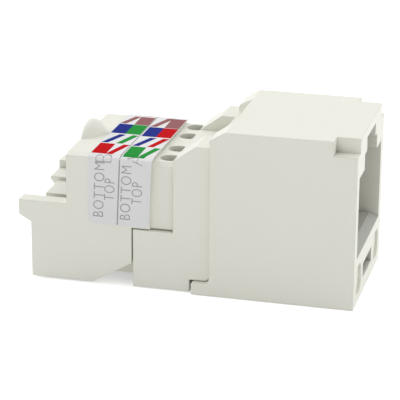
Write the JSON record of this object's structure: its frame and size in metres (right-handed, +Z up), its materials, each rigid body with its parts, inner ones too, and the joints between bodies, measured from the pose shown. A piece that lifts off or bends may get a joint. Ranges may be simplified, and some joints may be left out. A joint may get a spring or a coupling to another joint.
{
  "type": "snap-in modular network jack",
  "caption": "Snap-in jack module: a square-faced plastic housing with a stepped modular plug port, and a wire cap that slides onto forked blades at the back, with a folded colour-code label.",
  "frame": {"origin": "centre of the bounding box at the level of the flat underside", "axes": "+Y from the plug port's face towards the cable end, +Z up from the underside, +X across the width, to the right as seen when looking into the port along +Y"},
  "size_m": [0.0144, 0.0322, 0.0161],
  "materials": {
    "ivory_plastic": "fine matt moulded polycarbonate, warm white",
    "clear_grey_plastic": "matt moulded plastic, light grey",
    "board_laminate": "green glass-fibre laminate",
    "gold_plated_bronze": "bright gold plate",
    "tinned_bronze": "satin tin plate",
    "label_paper": "printed film, satin white"
  },
  "bodies": {
    "module": {"front_housing": "ivory_plastic", "contact_sled": "clear_grey_plastic", "circuit_board": "board_laminate", "idc_base": "ivory_plastic", "plug_contact_1": "gold_plated_bronze", "plug_contact_2": "gold_plated_bronze", "plug_contact_3": "gold_plated_bronze", "plug_contact_4": "gold_plated_bronze", "plug_contact_5": "gold_plated_bronze", "plug_contact_6": "gold_plated_bronze", "plug_contact_7": "gold_plated_bronze", "plug_contact_8": "gold_plated_bronze", "idc_terminal_1": "tinned_bronze", "idc_terminal_2": "tinned_bronze", "idc_terminal_3": "tinned_bronze", "idc_terminal_4": "tinned_bronze", "idc_terminal_5": "tinned_bronze", "idc_terminal_6": "tinned_bronze", "idc_terminal_7": "tinned_bronze", "idc_terminal_8": "tinned_bronze"},
    "cap": {"wire_cap": "ivory_plastic", "wiring_label": "label_paper"}
  },
  "joints": [
    {"name": "cap_slide", "type": "slide", "parent": "module", "child": "cap", "axis": [0, 1, 0], "range_m": [0, 0.009]}
  ]
}
